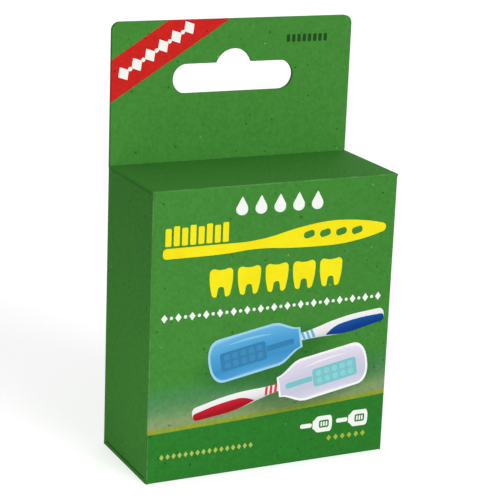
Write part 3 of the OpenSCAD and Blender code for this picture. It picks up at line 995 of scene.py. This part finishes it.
for brush in (BLUE_BRUSH, RED_BRUSH):
    name = brush["name"]
    x, z = brush["place"]
    shade_place = node(
        board_tree,
        "Mapping",
        {
            "Vector": board_place,
            "Location": ((x - brush["flip"] * SHADOW_SHIFT[0]) * MM, 0, (z + SHADOW_SHIFT[1]) * MM),
            "Rotation": (0, -math.radians(PICTURE_TURN), 0),
            "Scale": (SHADOW_HALF[0] * MM, 1, SHADOW_HALF[1] * MM),
        },
        vector_type="TEXTURE",
    )[0]
    far = node(board_tree, "VectorMath", {0: shade_place}, operation="LENGTH")["Value"]
    shade = node(
        board_tree,
        "MapRange",
        {0: far, 1: 1.25, 2: 0.6, 3: 0.0, 4: SHADOW_DEPTH},
        interpolation_type="SMOOTHSTEP",
    )[0]
    shade = node(board_tree, "Math", {0: shade, 1: on_front}, operation="MULTIPLY")[0]
    board_ink = node(board_tree, "Mix", {0: shade, 6: board_ink, 7: SHADOW_GREEN}, data_type="RGBA")[2]

    handle_x, handle_z, _ = laid([(-24, 0, 0)], brush)[0]
    handle_place = (handle_x, handle_z, HANDLE_L, HANDLE_W)
    handle_ink = moulded_ink("offset_ink_handle_" + name, *handle_place, HANDLE_TONES)
    grip_ink = moulded_ink("offset_ink_grip_" + name, *handle_place, brush["grip"])
    cover_place = (x, z, COVER_PRINT_L, COVER_PRINT_W)
    cover_ink = moulded_ink("offset_ink_cover_" + name, *cover_place, brush["cover"])
    rim_ink = ink("offset_ink_rim_" + name, brush["cover"][-1][1])
    stripe_ink = ink("offset_ink_stripe_" + name, brush["stripe"])
    head_ink = ink("offset_ink_head_" + name, brush["head"])
    tuft_ink = ink("offset_ink_tuft_" + name, brush["tuft"])
    shine_ink = ink("offset_ink_shine_" + name, brush["shine"])
    stripes = [laid(STRIPE, brush, -15.4 + 1.25 * i) for i in range(3)]
    head = [laid(bar(12.0, 4.7, 0.7), brush, 3.2, -0.5), laid(bar(7.3, 1.4, 0.5), brush, -6.6, -0.4)]
    tufts = [
        laid(bar(1.5, 1.5, 0.5), brush, -1.1 + 2.15 * i, -1.5 + 2.0 * j) for i in range(5) for j in range(2)
    ]
    printed_motif("picture_%s_handle" % name, handle_ink, [laid(HANDLE, brush)])
    printed_motif("picture_%s_grip" % name, grip_ink, [laid(SOFT_GRIP, brush)], layer=2)
    printed_motif("picture_%s_stripes" % name, stripe_ink, stripes, layer=2)
    printed_motif("picture_%s_rim" % name, rim_ink, [laid(COVER_RIM, brush)], layer=3)
    printed_motif("picture_%s_cover" % name, cover_ink, [laid(COVER_WITHIN, brush)], layer=4)
    printed_motif("picture_%s_head" % name, head_ink, head, layer=5)
    printed_motif("picture_%s_tufts" % name, tuft_ink, tufts, layer=6)
    printed_motif("picture_%s_shine" % name, shine_ink, [laid(SHINE, brush)], layer=5)

# Wear and mottle of the print. The ink takes the board unevenly, with flecks where it missed or
# pooled, and it is paler along the folds: partly rubbed ink, partly a painted highlight where the
# light catches the folds. The matt varnish leaves almost no shine.
MOTTLE_W = 0.9
POOLED_INK = "#A6A6A6"
BARE_BOARD = "#B9CDAE"
# Paler green along the folds, partly rubbed ink and partly painted highlight, with its band and patch
# sizes.
FOLD_RUB_HIGHLIGHT_GREEN = "#86B87A"
FOLD_RUB_HIGHLIGHT_W = 0.32
FOLD_RUB_HIGHLIGHT_H = 0.2
FOLD_RUB_HIGHLIGHT_PATCH = 2.5
mottle_size = {"Scale": 1 / (MOTTLE_W * MM), "Detail": 4.0, "Roughness": 0.7}
mottle = node(board_tree, "TexNoise", {"Vector": board_place, **mottle_size})["Fac"]
shade = node(board_tree, "MapRange", {0: mottle, 1: 0.3, 2: 0.7, 3: 0.87, 4: 1.13})[0]
board_ink = node(
    board_tree, "Mix", {0: 1.0, 6: board_ink, 7: shade}, data_type="RGBA", blend_type="MULTIPLY"
)[2]
board_ink = flecked(
    board_tree, board_place, board_ink, POOLED_INK, cell=1.9, share=0.8, largest=0.34, blend="MULTIPLY"
)
board_ink = flecked(board_tree, board_place, board_ink, BARE_BOARD, cell=2.3, share=0.4, largest=0.2)
# Paler along the folds in patches: partly rubbed ink, partly a painted highlight where the light catches
# the folds.
over_side = node(board_tree, "Math", {0: x_axis}, operation="ABSOLUTE")[0]
over_side = node(board_tree, "Math", {0: over_side, 1: (HALF_W - FOLD_RUB_HIGHLIGHT_W) * MM}, operation="SUBTRACT")[0]
over_end = node(board_tree, "Math", {0: y_axis}, operation="ABSOLUTE")[0]
over_end = node(board_tree, "Math", {0: over_end, 1: (HALF_D - FOLD_RUB_HIGHLIGHT_W) * MM}, operation="SUBTRACT")[0]
over_front = node(board_tree, "Math", {0: (FOLD_RUB_HIGHLIGHT_W - HALF_D) * MM, 1: y_axis}, operation="SUBTRACT")[0]
over_top = node(board_tree, "Math", {0: z_axis, 1: (CARTON_TOP - FOLD_RUB_HIGHLIGHT_H) * MM}, operation="SUBTRACT")[0]
upright = node(board_tree, "Math", {0: over_side, 1: over_end}, operation="MINIMUM")[0]
level = node(board_tree, "Math", {0: over_top, 1: over_front}, operation="MINIMUM")[0]
fold_line = node(board_tree, "Math", {0: upright, 1: level}, operation="MAXIMUM")[0]
rub_highlight_size = {"Scale": 1 / (FOLD_RUB_HIGHLIGHT_PATCH * MM), "Detail": 5.0}
rub_highlight_patches = node(board_tree, "TexNoise", {"Vector": board_place, **rub_highlight_size})["Fac"]
rub_highlight_patches = node(board_tree, "MapRange", {0: rub_highlight_patches, 1: 0.42, 2: 0.62, 3: 0.1, 4: 0.42})[0]
rub_and_highlight = node(board_tree, "MapRange", {0: fold_line, 1: -0.05 * MM, 2: 0.08 * MM})[0]
rub_and_highlight = node(board_tree, "Math", {0: rub_and_highlight, 1: rub_highlight_patches}, operation="MULTIPLY")[0]
board_ink = node(board_tree, "Mix", {0: rub_and_highlight, 6: board_ink, 7: FOLD_RUB_HIGHLIGHT_GREEN}, data_type="RGBA")[2]
surface = node(
    board_tree,
    "BsdfPrincipled",
    {
        "Base Color": board_ink,
        "Roughness": 0.7,
        "Specular IOR Level": 0.02,
        "Normal": board_fibres(board_tree, board_place, 0.02 * MM),
    },
)
node(board_tree, "OutputMaterial", {"Surface": surface[0]})

# Floor. A sheet of white paper, a hair below the carton. It glows only for the eye, so that it
# looks white and still takes the carton's shadow.
FLOOR_GLOW = 0.62
FLOOR_HALF = 4
FLOOR_DROP = 0.02
floor_mesh = bmesh.new()
bmesh.ops.create_grid(floor_mesh, x_segments=1, y_segments=1, size=FLOOR_HALF)
bmesh.ops.translate(floor_mesh, vec=(0, 0, -FLOOR_DROP * MM), verts=floor_mesh.verts[:])
floor_data = bpy.data.meshes.new("floor")
floor_mesh.to_mesh(floor_data)
floor_mesh.free()
floor = bpy.data.objects.new("floor", floor_data)
bpy.context.scene.collection.objects.link(floor)


def seen_by_eye(tree):
    """1 for rays from the camera, or reflected or let through by the object; 0 for light."""
    path = node(tree, "LightPath")
    eye = node(tree, "Math", {0: path["Is Camera Ray"], 1: path["Is Glossy Ray"]}, operation="MAXIMUM")[0]
    return node(tree, "Math", {0: eye, 1: path["Is Transmission Ray"]}, operation="MAXIMUM")[0]


paper, tree = new_material("seamless_white_paper")
matt = node(tree, "BsdfDiffuse", {"Color": "#E6E6E6"})[0]
glow = node(tree, "Math", {0: seen_by_eye(tree), 1: FLOOR_GLOW}, operation="MULTIPLY")[0]
glow = node(tree, "Emission", {"Color": "#FFFFFF", "Strength": glow})[0]
both = node(tree, "AddShader", {0: matt, 1: glow})[0]
node(tree, "OutputMaterial", {"Surface": both})
floor_data.materials.append(paper)

# Light. An even white studio, a broad key from the front right, a weaker fill from behind for the
# back of the carton, and a small lamp by the foot of the left side, which is paler lower down.
AMBIENT = 0.35
KEY_FROM = (0.32, -0.93, 0.36)
BACK_FROM = (0.25, 0.93, 0.27)
SIDE_PLACE = (-0.095, -0.02, 0.017)
SIDE_FROM = (-0.2, -0.05, 0.0)
world = bpy.data.worlds.new("studio")
bpy.context.scene.world = world
world.use_nodes = True
tree = world.node_tree
tree.nodes.clear()
strength = node(tree, "MapRange", {0: seen_by_eye(tree), 3: AMBIENT, 4: 1.0})[0]
sky = node(tree, "Background", {"Color": "#FFFFFF", "Strength": strength})[0]
node(tree, "OutputWorld", {"Surface": sky})


def add_lamp(name, kind, power, direction, place=(0, 0, 0)):
    """Lamp that shines from the given direction, and its data."""
    light = bpy.data.lights.new(name, kind)
    light.energy = power
    lamp = bpy.data.objects.new(name, light)
    lamp.location = place
    lamp.rotation_euler = Vector(direction).to_track_quat("Z", "Y").to_euler()
    bpy.context.scene.collection.objects.link(lamp)
    return lamp, light


_, key = add_lamp("key", "SUN", 1.92, KEY_FROM)
key.angle = math.radians(35)
_, back = add_lamp("back_fill", "SUN", 0.5, BACK_FROM)
back.angle = math.radians(60)
side_lamp, side_light = add_lamp("side_softbox", "AREA", 0.008, SIDE_FROM, SIDE_PLACE)
side_light.size = 0.03
side_lamp.visible_camera = False

bpy.context.scene.view_settings.view_transform = "Standard"
